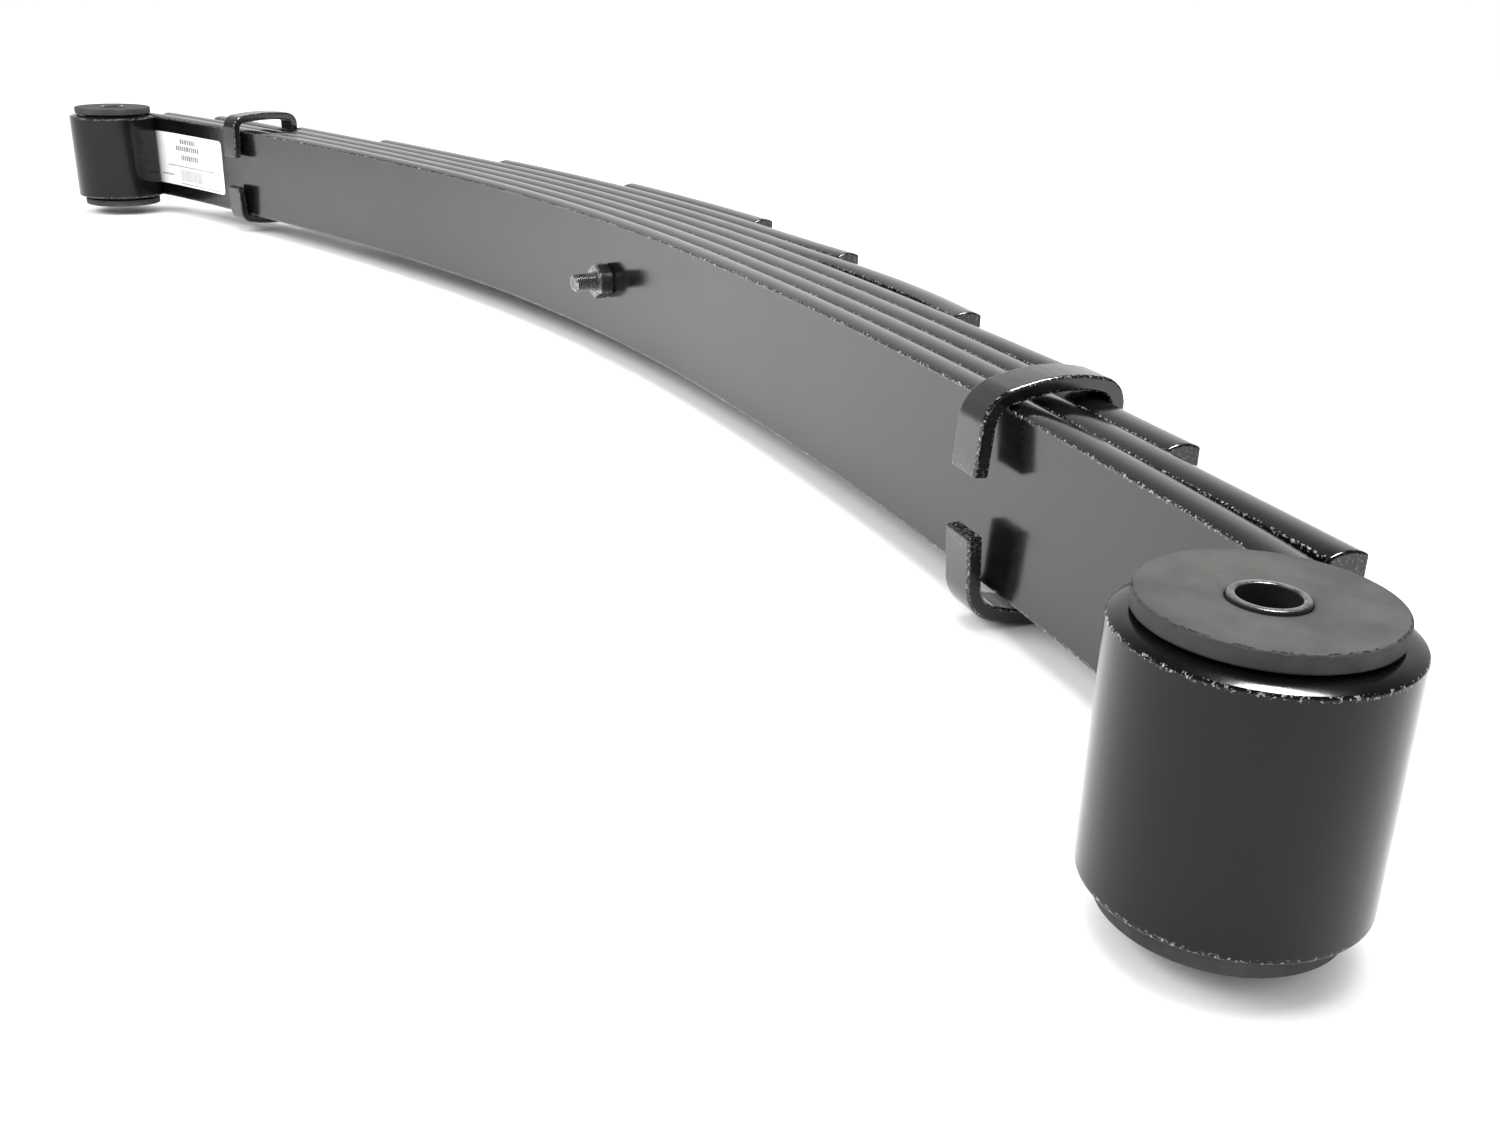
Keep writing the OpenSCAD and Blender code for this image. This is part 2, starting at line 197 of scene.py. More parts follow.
# ---------------------------------------------------------------- mesh helpers
def make(name, verts, faces, nodes, material, body=BODY, wear=None, sharp=60):
    """A piece from points in mm. wear is a value per point that the materials read."""
    mesh = bpy.data.meshes.new(name)
    mesh.from_pydata([Vector(v) * MM for v in verts], [], faces)
    mesh.validate()
    mesh.update()
    obj = bpy.data.objects.new(name, mesh)
    bpy.context.scene.collection.objects.link(obj)
    attribute = mesh.attributes.new("wear", "FLOAT", "POINT")
    if wear is not None and len(wear) == len(mesh.vertices):
        attribute.data.foreach_set("value", wear)
    mesh.shade_smooth()
    mesh.set_sharp_from_angle(angle=math.radians(sharp))
    weighted = obj.modifiers.new("weighted", "WEIGHTED_NORMAL")
    weighted.keep_sharp = True
    mesh.materials.append(material)
    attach(obj, body)
    if nodes:
        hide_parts(*nodes)
    return obj


def skin(rings, size, closed=False):
    """Faces between neighbouring rings of a size, and from the last ring to the first if closed."""
    faces = []
    for j in range(rings if closed else rings - 1):
        a, b = j * size, ((j + 1) % rings) * size
        for k in range(size):
            m = (k + 1) % size
            faces.append((a + k, b + k, b + m, a + m))
    return faces


def loft(rings, caps=True):
    """Points and faces over rings of equal length, with a face over each end if capped."""
    n, count = len(rings[0]), len(rings)
    verts = [p for ring in rings for p in ring]
    faces = skin(count, n)
    if caps:
        faces.append(tuple(range(n)))
        faces.append(tuple((count - 1) * n + k for k in reversed(range(n))))
    return verts, faces


def lathe(profile, centre, segments, along_y=False):
    """Turns a closed profile of (radius, height) about Z, or about Y, through centre."""
    verts = []
    for i in range(segments):
        a = 2 * math.pi * i / segments
        for r, h in profile:
            p, q = r * math.cos(a), r * math.sin(a)
            offset = (p, h, -q) if along_y else (p, q, h)
            verts.append(tuple(c + d for c, d in zip(centre, offset)))
    return verts, skin(segments, len(profile), closed=True)


def flipped(faces):
    return [tuple(reversed(face)) for face in faces]


def y_ring(height, radii):
    """Ring about the Y axis, with a radius for each of its points."""
    turns = [2 * math.pi * i / len(radii) for i in range(len(radii))]
    return [(r * math.cos(a), height, -r * math.sin(a)) for r, a in zip(radii, turns)]


def arc(cx, cy, r, start, end, count):
    """Points on an arc, angles in degrees."""
    return [(cx + r * math.cos(math.radians(start + (end - start) * i / count)),
             cy + r * math.sin(math.radians(start + (end - start) * i / count)))
            for i in range(count + 1)]


# ---------------------------------------------------------------- materials
def material(name, colour, roughness, coat=0.0, coat_rough=0.05, ior=1.5, specular=0.5):
    mat = bpy.data.materials.new(name)
    mat.use_nodes = True
    mat.diffuse_color = (*colour, 1)
    shader = mat.node_tree.nodes["Principled BSDF"]
    shader.inputs["Base Color"].default_value = (*colour, 1)
    shader.inputs["Roughness"].default_value = roughness
    shader.inputs["IOR"].default_value = ior
    shader.inputs["Specular IOR Level"].default_value = specular
    shader.inputs["Coat Weight"].default_value = coat
    shader.inputs["Coat Roughness"].default_value = coat_rough
    return mat, mat.node_tree, shader


def noise_node(tree, scale, detail=2.0, rough=0.5):
    """A noise texture in object space. scale is in cells per metre."""
    coords = tree.nodes.new("ShaderNodeTexCoord")
    tex = tree.nodes.new("ShaderNodeTexNoise")
    tex.inputs["Scale"].default_value = scale
    tex.inputs["Detail"].default_value = detail
    tex.inputs["Roughness"].default_value = rough
    tree.links.new(coords.outputs["Object"], tex.inputs["Vector"])
    return tex.outputs["Fac"]


def spread(tree, value, low, high, to_low, to_high):
    """Maps low..high of a value to to_low..to_high, clamped."""
    node = tree.nodes.new("ShaderNodeMapRange")
    limits = {"From Min": low, "From Max": high, "To Min": to_low, "To Max": to_high}
    for key, number in limits.items():
        node.inputs[key].default_value = number
    tree.links.new(value, node.inputs["Value"])
    return node.outputs["Result"]


def combine(tree, operation, a, b):
    """Result of a maths operation on two values, each a number or a socket."""
    node = tree.nodes.new("ShaderNodeMath")
    node.operation = operation
    for socket, value in zip(node.inputs, (a, b)):
        if isinstance(value, (int, float)):
            socket.default_value = value
        else:
            tree.links.new(value, socket)
    return node.outputs["Value"]


def mix_colour(tree, factor, a, b):
    """Blend from a to b, each a colour or a socket."""
    node = tree.nodes.new("ShaderNodeMix")
    node.data_type = "RGBA"
    tree.links.new(factor, node.inputs["Factor"])
    sockets = [s for s in node.inputs if s.type == "RGBA"]
    for socket, value in zip(sockets, (a, b)):
        if isinstance(value, tuple):
            socket.default_value = (*value, 1)
        else:
            tree.links.new(value, socket)
    return [s for s in node.outputs if s.type == "RGBA"][0]


def bump(tree, shader, layers):
    """layers: (height, distance in mm, strength). The shader and its coat share them."""
    previous = None
    for height, distance, strength in layers:
        node = tree.nodes.new("ShaderNodeBump")
        node.inputs["Distance"].default_value = distance * MM
        node.inputs["Strength"].default_value = strength
        tree.links.new(height, node.inputs["Height"])
        if previous:
            tree.links.new(previous, node.inputs["Normal"])
        previous = node.outputs["Normal"]
    tree.links.new(previous, shader.inputs["Normal"])
    tree.links.new(previous, shader.inputs["Coat Normal"])


def wear_of(tree):
    node = tree.nodes.new("ShaderNodeAttribute")
    node.attribute_name = "wear"
    return node.outputs["Fac"]


def worn_spots(tree, scale, detail, low, high):
    """Ragged spots where the wear value is high."""
    spots = spread(tree, noise_node(tree, scale, detail, 0.7), low, high, 0, 1)
    return combine(tree, "MULTIPLY", wear_of(tree), spots)


def gloss_paint(name, peel=0.05, rough=0.15, ior=1.5):
    """Black chassis paint over rolled steel: orange peel, slow waves, dust and thin edges."""
    mat, tree, shader = material(name, PAINT_BLACK, rough, ior=ior)
    slow = noise_node(tree, 9, 3)
    cloud = noise_node(tree, 42, 5, 0.6)
    grain = noise_node(tree, 1500, 3, 0.6)
    dust = spread(tree, noise_node(tree, 3400, 2, 0.6), 0.7, 0.78, 0, 1)
    specks = combine(tree, "MULTIPLY", dust, spread(tree, cloud, 0.56, 0.76, 0, 1))
    edges = worn_spots(tree, 900, 3, 0.55, 0.62)
    waves = spread(tree, slow, 0.35, 0.65, 0, 1)
    base = mix_colour(tree, waves, PAINT_DARK, PAINT_LIGHT)
    base = mix_colour(tree, combine(tree, "MULTIPLY", specks, 0.25), base, DUST)
    base = mix_colour(tree, combine(tree, "MULTIPLY", edges, 0.8), base, BARE_STEEL)
    tree.links.new(base, shader.inputs["Base Color"])
    rough_map = combine(tree, "ADD", spread(tree, cloud, 0.3, 0.7, rough - 0.03, rough + 0.05),
                        combine(tree, "MULTIPLY", specks, 0.2))
    tree.links.new(rough_map, shader.inputs["Roughness"])
    bump(tree, shader, [
        (noise_node(tree, 24, 1), 0.5, 0.15),
        (noise_node(tree, 260, 2), 0.1, peel * 4),
        (grain, 0.03, 0.2),
    ])
    return mat


def rubber(name):
    """Dull black rubber with a pale bloom, and dark nicks where the wear value is high."""
    mat, tree, shader = material(name, (0.045, 0.045, 0.043), 0.72, specular=0.22)
    cloud = noise_node(tree, 60, 4, 0.6)
    fine = noise_node(tree, 900, 3, 0.7)
    bloom = spread(tree, cloud, 0.38, 0.66, 0, 1)
    base = mix_colour(tree, bloom, RUBBER_DARK, RUBBER_BLOOM)
    nicks = worn_spots(tree, 480, 3, 0.52, 0.58)
    base = mix_colour(tree, nicks, base, RUBBER_NICK)
    tree.links.new(base, shader.inputs["Base Color"])
    tree.links.new(spread(tree, cloud, 0.3, 0.7, 0.6, 0.78), shader.inputs["Roughness"])
    bump(tree, shader, [
        (cloud, 0.15, 0.4),
        (fine, 0.05, 0.4),
        (nicks, -0.5, 0.7),
    ])
    return mat


def bare_edge_paint(name):
    """Black paint worn to steel where the wear value is high."""
    mat, tree, shader = material(name, BOLT_BLACK, 0.22, coat=0.2)
    worn = worn_spots(tree, 520, 4, 0.42, 0.56)
    base = mix_colour(tree, worn, BOLT_BLACK, WORN_STEEL)
    tree.links.new(base, shader.inputs["Base Color"])
    tree.links.new(worn, shader.inputs["Metallic"])
    uneven = spread(tree, noise_node(tree, 240, 3), 0.3, 0.7, 0.14, 0.34)
    tree.links.new(uneven, shader.inputs["Roughness"])
    bump(tree, shader, [
        (noise_node(tree, 300, 2), 0.12, 0.35),
        (noise_node(tree, 1600, 2), 0.03, 0.3),
        (worn, -0.06, 0.6),
    ])
    return mat


def paper(name):
    """White coated paper, slightly wavy."""
    mat, tree, shader = material(name, (0.86, 0.86, 0.85), 0.45, coat=0.15, coat_rough=0.2)
    cloud = noise_node(tree, 120, 4)
    fibre = noise_node(tree, 2200, 3, 0.7)
    base = mix_colour(tree, cloud, PAPER_DARK, PAPER_LIGHT)
    tree.links.new(base, shader.inputs["Base Color"])
    tree.links.new(spread(tree, fibre, 0.3, 0.7, 0.4, 0.56), shader.inputs["Roughness"])
    bump(tree, shader, [(noise_node(tree, 55, 2), 0.2, 0.35), (fibre, 0.01, 0.3)])
    return mat


def ink(name):
    """Grey print, faded in grains."""
    mat, tree, shader = material(name, (0.09, 0.09, 0.1), 0.5)
    fade = noise_node(tree, 1400, 3, 0.7)
    base = mix_colour(tree, spread(tree, fade, 0.35, 0.7, 0, 1), INK_DARK, INK_FADED)
    tree.links.new(base, shader.inputs["Base Color"])
    tree.links.new(spread(tree, fade, 0.3, 0.7, 0.4, 0.6), shader.inputs["Roughness"])
    bump(tree, shader, [(fade, 0.01, 0.3)])
    return mat


LEAF_PAINT = gloss_paint("leaf_paint")
EYE_PAINT = gloss_paint("eye_paint", peel=0.06, ior=1.32)
STRAP_PAINT = gloss_paint("strap_paint", peel=0.08, rough=0.17, ior=1.62)
BOLT_PAINT = bare_edge_paint("bolt_paint")
SLEEVE_PAINT = bare_edge_paint("sleeve_paint")
RUBBER = rubber("bush_rubber")
PAPER = paper("label_paper")
INK = ink("label_ink")


# ---------------------------------------------------------------- leaves
def leaf_outline(inset=0.0):
    """Closed outline (behind the hollow face, height, wear): crowned edges, filleted corners."""
    crown_z = LEAF_W / 2 - CROWN_R
    r, f = CROWN_R - inset, EDGE_FILLET
    mid, half_t = LEAF_T / 2, LEAF_T / 2 - inset
    rise = math.sqrt((r - f) ** 2 - (half_t - f) ** 2)
    foot = math.degrees(math.atan2(rise, f - half_t))

    def curve(u, v, radius, angles, wear):
        return [(u + radius * math.cos(math.radians(a)), v + radius * math.sin(math.radians(a)), wear)
                for a in angles]

    top = curve(mid - half_t + f, crown_z + rise, f,
                [180 - (180 - foot) * i / 4 for i in range(4)], 1.0)
    top += curve(mid, crown_z, r, [foot - (2 * foot - 180) * i / 10 for i in range(11)], 0.0)
    top += curve(mid + half_t - f, crown_z + rise, f,
                 [180 - foot - (180 - foot) * (i + 1) / 4 for i in range(4)], 1.0)
    flat_z = crown_z + rise - WEAR_REACH
    top = [(top[0][0], flat_z, 0.0)] + top + [(top[-1][0], flat_z, 0.0)]
    return top + [(u, -v, w) for u, v, w in reversed(top)]


def leaf_ring(outline, state, side):
    """The outline placed at a state, on the front arm (side 1) or the rear arm (side -1)."""
    x, y, h = state
    return [(side * (x + u * math.sin(h)), y + u * math.cos(h), v) for u, v, _ in outline]


def tip_rings(state, side):
    """Rings that round off a cut leaf end, the smallest last."""
    out = []
    for i in range(1, BEVEL_STEPS + 1):
        a = math.pi / 2 * i / BEVEL_STEPS
        back = LEAF_BEVEL * (1 - math.sin(a))
        x, y, h = state
        moved = (x - back * math.cos(h), y + back * math.sin(h), h)
        out.append(leaf_ring(leaf_outline(LEAF_BEVEL * (1 - math.cos(a))), moved, side))
    return out


def leaf(n):
    """Leaf n of the stack, counted from the hollow side, rear tip to front tip."""
    depth = (n - 1) * PITCH
    outline = leaf_outline()
    arms = []
    for path, side in ((rear_path(n), -1), (front_path(n), 1)):
        states = stations(path, depth)
        x, y, h = states[-1]
        states[-1] = (x - LEAF_BEVEL * math.cos(h), y + LEAF_BEVEL * math.sin(h), h)
        arms.append([leaf_ring(outline, s, side) for s in states] + tip_rings((x, y, h), side))
    rings = list(reversed(arms[0])) + [leaf_ring(outline, (0, depth - STACK_H, 0), 1)] + arms[1]
    verts, faces = loft(rings)
    tip_wear = [0.3] * (BEVEL_STEPS * len(outline))
    face_wear = [w for _ in rings[BEVEL_STEPS:-BEVEL_STEPS] for _, _, w in outline]
    name = "main_leaf" if n == 1 else f"leaf_{n}"
    piece = make(f"{name}_steel", verts, faces, [name], LEAF_PAINT,
                 wear=tip_wear + face_wear + tip_wear)
    if n == 1:
        piece.data.materials.append(EYE_PAINT)
        reach = (EYE_R + LEAF_T + 1) * MM
        centres = [Vector(centre) * MM for centre in (FRONT_CENTRE, REAR_CENTRE)]
        for face in piece.data.polygons:
            if min((face.center.xy - c).length for c in centres) < reach:
                face.material_index = 1


for number in range(1, LEAF_COUNT + 1):
    leaf(number)


# ---------------------------------------------------------------- clips
def lift(length, curvature, own_curvature):
    """Gap that opens over a length between two curvatures."""
    return (curvature - own_curvature) * length * length / 2


# Depth of the third leaf's hollow face at each clip
FRONT_CLIP_FACE = 2 * PITCH
REAR_CLIP_FACE = 2 * PITCH + lift(REAR_CLIP_AT - SEAT_REAR, 1 / REAR_R, 1 / REAR_LOOSE_R)


def strap_section(inset=0.0):
    """Closed outline (outwards, across) of the strap, about its middle line."""
    a, b = STRAP_T / 2 - inset, STRAP_W / 2 - inset
    f = max(STRAP_FILLET - inset, 0.3)
    out = []
    corners = ((a - f, b - f, 0), (f - a, b - f, 90), (f - a, f - b, 180), (a - f, f - b, 270))
    for cx, cy, start in corners:
        out += arc(cx, cy, f, start, start + 90, 4)
    return out


def strap_line(back, shape, height, arm_gap, drop, tips):
    """Middle line (depth, height) of a clip, from its upper arm's end round to its lower arm's."""
    upper_tip, lower_tip = tips
    half = STRAP_T / 2
    arm_r, back_r, arch_h = shape
    top = height / 2 - STRAP_T
    front_at, back_at = arm_r - arm_gap, back + STRAP_SLACK - back_r
    root = top - arch_h - arm_r
    points = []
    for side in (1, -1):
        points += arc(front_at, side * root, arm_r + half, 0, 360, 64)
        for t in [i / 8 for i in range(1, 9)]:
            along = front_at + (back_at - front_at) * t
            fall = arch_h * ((1 - t) * (1 - 2 * t) + 0.5 * t * (2 * t - 1))
            points += arc(along, side * (top - fall - back_r), back_r + half, 0, 360, 64)
    hull = [points[i] for i in geometry.convex_hull_2d([Vector(p) for p in points])]
    area = sum(p[0] * q[1] - q[0] * p[1] for p, q in zip(hull, hull[1:] + hull[:1]))
    if area > 0:
        hull.reverse()
    outer = -arm_gap - half
    start = min(range(len(hull)), key=lambda i: math.dist(hull[i], (outer, root)))
    hull = hull[start:] + hull[:start]
    end = min(range(len(hull)), key=lambda i: math.dist(hull[i], (outer, -root)))
    bends = [(d, z - drop) for d, z in hull[1:end]]
    splayed, half_way = outer - SPLAY, outer - SPLAY * 0.5
    line = [(splayed, upper_tip), (half_way, (upper_tip + root - drop) / 2), (outer, root - drop)]
    line += bends
    line += [(outer, -root - drop), (half_way, (lower_tip - root - drop) / 2), (splayed, lower_tip)]
    return [p for i, p in enumerate(line) if i == 0 or math.dist(p, line[i - 1]) > 0.05]


def clip(name, state, side, line):
    """Strap swept along its middle line, with rounded ends."""
    x, y, h = state
    marks = []
    for i, (d, z) in enumerate(line):
        before, after = line[max(i - 1, 0)], line[min(i + 1, len(line) - 1)]
        td, tz = after[0] - before[0], after[1] - before[1]
        size = math.hypot(td, tz)
        marks.append((d, z, td / size, tz / size))

    def end_rows(mark, inwards):
        """Sections at one end, the smallest first: place, direction, inset and wear."""
        d, z, td, tz = mark
        rows = []
        for i in range(BEVEL_STEPS, -1, -1):
            a = math.pi / 2 * i / BEVEL_STEPS
            back = inwards * STRAP_BEVEL * (1 - math.sin(a))
            inset = STRAP_BEVEL * (1 - math.cos(a))
            rows.append((d + td * back, z + tz * back, td, tz, inset, 1.0))
        return rows

    rows = end_rows(marks[0], 1)
    rows += [(*mark, 0.0, 0.0) for mark in marks[1:-1]]
    rows += reversed(end_rows(marks[-1], -1))
    rings, wear = [], []
    for d, z, td, tz, inset, worn in rows:
        ring = []
        for k, (out, across) in enumerate(strap_section(inset)):
            pd, pz = d - tz * out, z + td * out
            ring.append((side * (x + across * math.cos(h) + pd * math.sin(h)),
                         y - across * math.sin(h) + pd * math.cos(h), pz))
            on_corner = k % 5 in (1, 2, 3)
            wear.append(1.0 if on_corner else worn * 0.3)
        rings.append(ring if side > 0 else list(reversed(ring)))
    verts, faces = loft(rings)
    make(f"{name}_strap", verts, faces, [name], STRAP_PAINT, wear=wear)


front_state = end_of(plain_front(FRONT_CLIP_AT))
rear_state = end_of(plain_rear(REAR_CLIP_AT))
front_line = strap_line(FRONT_CLIP_FACE + LEAF_T, FRONT_CLIP_SHAPE, FRONT_CLIP_H,
                        FRONT_ARM_GAP, FRONT_CLIP_DROP, FRONT_ARM_TIPS)
rear_line = strap_line(REAR_CLIP_FACE + LEAF_T, REAR_CLIP_SHAPE, REAR_CLIP_H,
                       REAR_ARM_GAP, REAR_CLIP_DROP, REAR_ARM_TIPS)
clip("front_clip", front_state, 1, front_line)
clip("rear_clip", rear_state, -1, rear_line)


def rivet_head(name, state, side, face):
    """Domed rivet head on the back of a clip, its axis square to the leaf."""
    base = face + LEAF_T + STRAP_SLACK + STRAP_T
    dome_r = (RIVET_HEAD_R ** 2 + RIVET_HEAD_H ** 2) / (2 * RIVET_HEAD_H)
    dome_low = RIVET_HEAD_H - dome_r
    edge = math.degrees(math.asin((dome_r - RIVET_HEAD_H + RIVET_EDGE) / dome_r))
    profile = [(RIVET_SHANK_R, -2.0), (RIVET_HEAD_R - 0.4, 0.0), (RIVET_HEAD_R, RIVET_EDGE)]
    profile += arc(0, dome_low, dome_r, edge, 90, 8)[:-1]
    profile.append((0.01, RIVET_HEAD_H))
    x, y, h = state
    verts, faces = lathe(profile, (0, base, 0), 48, along_y=True)
    placed = [(side * (x + px * math.cos(h) + py * math.sin(h)),
               y - px * math.sin(h) + py * math.cos(h), pz) for px, py, pz in verts]
    wear = [1.0 if i % len(profile) == 2 else 0.0 for i in range(len(verts))]
    make(f"{name}_head", placed, faces if side > 0 else flipped(faces), [name],
         STRAP_PAINT, wear=wear)


rivet_head("front_clip_rivet", front_state, 1, FRONT_CLIP_FACE)
rivet_head("rear_clip_rivet", rear_state, -1, REAR_CLIP_FACE)


# ---------------------------------------------------------------- centre bolt and nut
def centre_bolt():
    """Round-headed bolt along Y with a helical thread on its free end."""
    segments, tip_h, runout_len, crown = 64, 1.2, 3, 1.5
    low = -STACK_H - BOLT_OUT
    step = THREAD_PITCH / 8
    rings = [y_ring(low + 0.25, [1.6] * segments),
             y_ring(low + 0.05, [BOLT_R - tip_h - 0.9] * segments)]
    wear = [0.1] * (2 * segments)
    for k in range(int(THREAD_LEN / step) + 1):
        h = low + k * step
        taper = BOLT_R - tip_h + (h - low)
        runout = min(max((h - (low + THREAD_LEN - runout_len)) / runout_len, 0), 1)
        radii = []
        for i in range(segments):
            turns = (h - low) / THREAD_PITCH - i / segments
            wave = abs((turns % 1.0) * 2 - 1)
            flank = min(max((wave - 0.12) / 0.76, 0.0), 1.0)
            r = BOLT_R - THREAD_DEPTH * (1 - flank)
            radii.append(min(r + (BOLT_R - r) * runout, taper))
            wear.append(0.75 if h < low + tip_h + 0.3 else 0.2 * flank)
        rings.append(y_ring(h, radii))
    head = [(BOLT_R, -0.2), (HEAD_R - 0.4, 0.0), (HEAD_R, 0.4), (HEAD_R, HEAD_H - crown)]
    head += arc(HEAD_R - crown, HEAD_H - crown, crown, 0, 90, 3)[1:]
    for r, h in [(BOLT_R, low + THREAD_LEN + 1)] + head:
        rings.append(y_ring(h, [r] * segments))
        wear += [0.4 if h > 5 else 0.0] * segments
    verts, faces = loft(rings)
    make("centre_bolt_steel", verts, faces, ["centre_bolt"], BOLT_PAINT,
         wear=wear, sharp=80)


def centre_nut():
    """Hexagon nut with both faces bevelled and a countersunk thread mouth."""
    segments, bevel, mouth_r, thread_r = 144, 1.5, BOLT_R + 0.75, BOLT_R - 0.35
    corner = NUT_FLATS / math.sqrt(3)
    base = -STACK_H - FILM_T
    angles = [2 * math.pi * i / segments for i in range(segments)]
    near_face = (0.0, 0.35, 0.8, 1.2, 2.0)
    heights = [*near_face, NUT_H / 2, *(NUT_H - h for h in reversed(near_face))]

    def hexagon(a):
        off = (a + math.pi / 2) % (math.pi / 3) - math.pi / 6
        return NUT_FLATS / 2 / math.cos(off)

    def flank(h, a):
        """Radius of the six sides, rounded at the corners and bevelled towards both faces."""
        limit = corner - bevel + min(h, NUT_H - h) / math.tan(math.radians(30))
        return min(hexagon(a) - 0.12 * max(0, (hexagon(a) - corner + 0.5)), limit)

    rings, wear = [y_ring(base, [thread_r] * segments)], [0.0] * segments
    for h in heights:
        rings.append(y_ring(base - h, [flank(h, a) for a in angles]))
        for a in angles:
            near_corner = max(0.0, (hexagon(a) - NUT_FLATS / 2) / (corner - NUT_FLATS / 2) - 0.45)
            wear.append(min(0.8, near_corner * 0.8 + (0.25 if h > NUT_H - 1.3 else 0)))
    rings.append(y_ring(base - NUT_H, [mouth_r] * segments))
    rings.append(y_ring(base - (NUT_H - 0.7), [thread_r] * segments))
    wear += [0.5] * segments + [0.0] * segments
    verts, faces = loft(rings, caps=False)
    make("centre_nut_steel", verts, faces, ["centre_nut"], BOLT_PAINT,
         wear=wear, sharp=35)


centre_bolt()
centre_nut()


# ---------------------------------------------------------------- bushes and sleeves
def bush_half(name, centre, side):
    """Flanged rubber half: rounded rim, flat face and a shallow recess round the sleeve."""
    inner, top, low, edge = SLEEVE_R + 0.05, FLANGE_TOP, FLANGE_TOP - FLANGE_T, 0.9
    profile = [(inner, 0.5), (inner, top - 1.2), (inner + 0.5, top - 0.55), (inner + 1.3, top - 0.5),
               (inner + 2.2, top - 0.12), (inner + 4.5, top), (FLANGE_R - edge - 3, top)]
    profile += arc(FLANGE_R - edge, top - edge, edge, 90, 0, 5)
    profile += [(FLANGE_R, low + 1.0), (FLANGE_R - 0.25, low + 0.35), (FLANGE_R - 0.9, low),
                (EYE_R + 0.4, low)]
    profile += [(EYE_R, low - 0.6), (EYE_R, 0.5)]
    verts, faces = lathe([(r, side * h) for r, h in profile], (centre[0], centre[1], 0), 160)
    if side > 0:
        faces = flipped(faces)
    worn = {8: 0.5, 9: 1.0, 10: 0.8, 11: 0.3}
    wear = [worn.get(i % len(profile), 0.0) for i in range(len(verts))]
    end = "upper" if side > 0 else "lower"
    make(f"{name}_{end}_rubber", verts, faces, [f"{name}_{end}_half"], RUBBER,
         wear=wear)


def sleeve(name, centre, body):
    """Steel tube with bevelled ends that turns in its bush."""
    half, b = SLEEVE_LEN / 2, 0.5
    profile = [(SLEEVE_BORE_R, -half + b), (SLEEVE_BORE_R + b, -half),
               (SLEEVE_R - b, -half), (SLEEVE_R, -half + b),
               (SLEEVE_R, half - b), (SLEEVE_R - b, half),
               (SLEEVE_BORE_R + b, half), (SLEEVE_BORE_R, half - b)]
    verts, faces = lathe(profile, (centre[0], centre[1], 0), 96)
    wear = [0.12 if i % 8 in (1, 2, 5, 6) else 0.0 for i in range(len(verts))]
    make(f"{name}_sleeve_tube", verts, flipped(faces), [f"{name}_sleeve"],
         SLEEVE_PAINT, body=body, wear=wear)


for half_side in (1, -1):
    bush_half("front_bush", FRONT_CENTRE, half_side)
    bush_half("rear_bush", REAR_CENTRE, half_side)
sleeve("front_bush", FRONT_CENTRE, "front_sleeve")
sleeve("rear_bush", REAR_CENTRE, "rear_sleeve")


# ---------------------------------------------------------------- label
def on_face(along, height, proud):
    """Point on the rear arm's hollow face, a distance along it and proud of it."""
    bend_at = REAR_TIPS[0] - LEAD_LEN
    state = end_of(plain_rear(min(along, bend_at)))
    if along > bend_at:
        state = advance(state, (along - bend_at, LEAD_R), 0)
    x, y, h = state
    return (-(x - proud * math.sin(h)), y - proud * math.cos(h), height)


def label():
    """Paper sheet with rounded corners that follows the rear arm's bend."""
    rows, columns = 28, 40
    top, bottom = LABEL_H / 2 - LABEL_DROP, -LABEL_H / 2 - LABEL_DROP
    heights = [bottom + LABEL_H * (0.5 - 0.5 * math.cos(math.pi * i / rows)) for i in range(rows + 1)]
    verts = []
    for proud in (LABEL_GLUE_T, LABEL_GLUE_T + LABEL_T):
        for z in heights:
            near = max(0.0, LABEL_CORNER_R - min(top - z, z - bottom))
            cut = LABEL_CORNER_R - math.sqrt(max(0.0, LABEL_CORNER_R ** 2 - near ** 2))
            half = LABEL_LEN / 2 - cut
            for k in range(columns + 1):
                t = -1 + 2 * k / columns
                verts.append(on_face(LABEL_AT + half * t, z, proud))
    n, m = columns + 1, (rows + 1) * (columns + 1)
    faces = []
    for j in range(rows):
        for k in range(columns):
            a = j * n + k
            faces.append((m + a, m + a + n, m + a + n + 1, m + a + 1))
            faces.append((a, a + 1, a + n + 1, a + n))
    rim = list(range(n)) + [j * n + n - 1 for j in range(1, rows + 1)]
    rim += [rows * n + k for k in reversed(range(n - 1))] + [j * n for j in reversed(range(1, rows))]
    for a, b in zip(rim, rim[1:] + rim[:1]):
        faces.append((a, m + a, m + b, b))
    make("label_sheet", verts, faces, ["label"], PAPER)


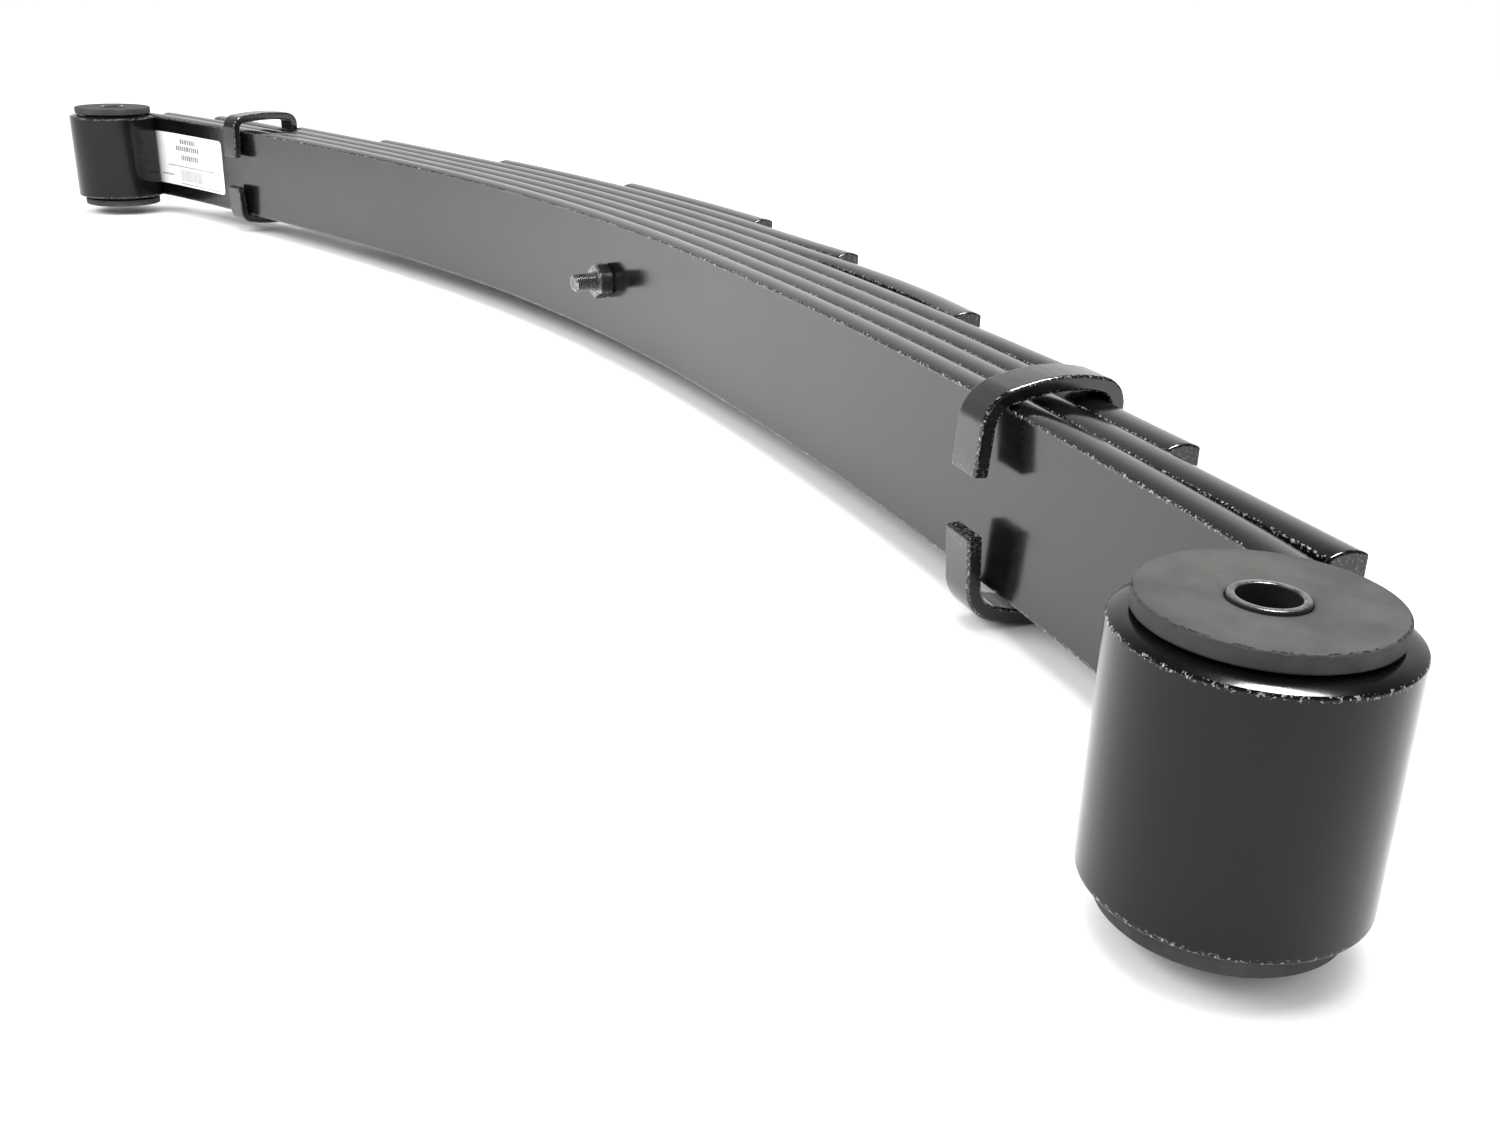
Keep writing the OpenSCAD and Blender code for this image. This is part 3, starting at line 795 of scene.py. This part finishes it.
def label_print():
    """Plain printed marks that spell nothing: rows of dashes and a block of upright bars."""
    marks = []

    def dashes(left, right, bottom, top, seed):
        x, i = left, 0
        while x < right:
            width = 2.0 + 3.5 * abs(noise.noise(Vector((seed, i * 1.7, 0.3))))
            marks.append((x, min(x + width, right), bottom, top))
            x += width + 1.1
            i += 1

    for row in HEADING_ROWS:
        dashes(*row)
    x, i = UPRIGHTS_LEFT, 0
    while x < UPRIGHTS_RIGHT:
        width = 0.6 + 1.1 * abs(noise.noise(Vector((7.7, i * 1.3, 0.1))))
        marks.append((x, x + width, UPRIGHTS_LOW, UPRIGHTS_TOP))
        x += width + 0.9
        i += 1
    for row in SMALL_ROWS:
        dashes(*row)
    verts, faces = [], []
    proud = LABEL_GLUE_T + LABEL_T + INK_PROUD
    for x0, x1, z0, z1 in marks:
        steps = max(1, math.ceil((x1 - x0) / 4))
        for k in range(steps):
            a, b = x0 + (x1 - x0) * k / steps, x0 + (x1 - x0) * (k + 1) / steps
            i = len(verts)
            for p, q in ((a, z0), (b, z0), (b, z1), (a, z1)):
                verts.append(on_face(LABEL_AT - p, q - LABEL_DROP, proud))
            faces.append((i, i + 1, i + 2, i + 3))
    make("label_bars", verts, faces, [], INK)


label()
label_print()


# ---------------------------------------------------------------- floor, light and camera
def floor():
    """White ground under the lower of the two clips."""
    mesh = bpy.data.meshes.new("floor")
    z = FLOOR_Z * MM
    corners = ((-1, -1), (1, -1), (1, 1), (-1, 1))
    mesh.from_pydata([(x * FLOOR_HALF, y * FLOOR_HALF, z) for x, y in corners], [], [(0, 1, 2, 3)])
    obj = bpy.data.objects.new("floor", mesh)
    bpy.context.scene.collection.objects.link(obj)
    mat, tree, shader = material("floor_white", (0.9, 0.9, 0.9), 0.6, specular=0.2)
    tone = mix_colour(tree, noise_node(tree, 3, 2), (0.9, 0.9, 0.9), (0.93, 0.93, 0.93))
    tree.links.new(tone, shader.inputs["Base Color"])
    mesh.materials.append(mat)


def area_light(name, at, aim, size, power, glossy=True, diffuse=True):
    """Rectangular lamp that looks from one point to another."""
    data = bpy.data.lights.new(name, "AREA")
    data.shape = "RECTANGLE"
    data.size, data.size_y = size
    data.energy = power
    obj = bpy.data.objects.new(name, data)
    obj.location = at
    obj.rotation_mode = "QUATERNION"
    obj.rotation_quaternion = (Vector(aim) - Vector(at)).to_track_quat("-Z", "Y")
    obj.visible_glossy = glossy
    obj.visible_diffuse = diffuse
    bpy.context.scene.collection.objects.link(obj)


def sky_light():
    """Very wide sun overhead that shows in no reflection."""
    data = bpy.data.lights.new("sky", "SUN")
    data.energy = SKY_ENERGY
    data.angle = math.radians(SKY_ANGLE)
    obj = bpy.data.objects.new("sky", data)
    obj.visible_glossy = False
    bpy.context.scene.collection.objects.link(obj)


def studio_world():
    """Bright wall and horizon beyond the spring, dim room behind the camera, dark ceiling."""
    world = bpy.data.worlds.new("studio")
    world.use_nodes = True
    tree = world.node_tree
    direction = tree.nodes.new("ShaderNodeTexCoord").outputs["Generated"]
    towards = tree.nodes.new("ShaderNodeVectorMath")
    towards.operation = "DOT_PRODUCT"
    towards.inputs[1].default_value = WALL_TOWARDS
    tree.links.new(direction, towards.inputs[0])
    split = tree.nodes.new("ShaderNodeSeparateXYZ")
    tree.links.new(direction, split.inputs["Vector"])
    wall = spread(tree, towards.outputs["Value"], 0.3, 0.95, DIM_ROOM, BRIGHT_WALL)
    ceiling = spread(tree, split.outputs["Z"], 0.42, 0.8, 1, DARK_CEILING)
    background = tree.nodes["Background"]
    background.inputs["Color"].default_value = (1, 1, 1, 1)
    tree.links.new(combine(tree, "MULTIPLY", wall, ceiling), background.inputs["Strength"])
    bpy.context.scene.world = world


def set_view():
    """Plain colours, without a film look."""
    view = bpy.context.scene.view_settings
    view.view_transform = "Standard"
    view.look = "None"
    view.exposure = 0
    view.gamma = 1


def set_camera():
    data = bpy.data.cameras.new("camera")
    data.lens = LENS_MM
    data.sensor_width = SENSOR_MM
    data.clip_start, data.clip_end = 0.02, 200
    camera = bpy.data.objects.new("camera", data)
    bpy.context.scene.collection.objects.link(camera)
    camera.matrix_world = (
        Matrix.Translation(CAMERA_AT)
        @ Matrix.Rotation(math.radians(AZIMUTH), 4, "Z")
        @ Matrix.Rotation(math.radians(90 - ELEVATION), 4, "X")
        @ Matrix.Rotation(math.radians(ROLL), 4, "Z")
    )
    bpy.context.scene.camera = camera


floor()
studio_world()
sky_light()
area_light("overhead", at=(0.05, 0.0, 1.5), aim=(0.0, -0.2, 0), size=(2.0, 1.4), power=34,
           glossy=False)
area_light("side", at=(-0.2, -1.2, 0.8), aim=(0.05, -0.45, 0), size=(1.2, 0.7), power=16,
           glossy=False)
# Mirrored in the glossy paint, as the bright streak on the shoulder of the front eye
area_light("streak", at=(0.57, 0.1, 1.3), aim=(0.65, -0.24, 0.04), size=(0.45, 0.45), power=60,
           diffuse=False)
set_view()
set_camera()
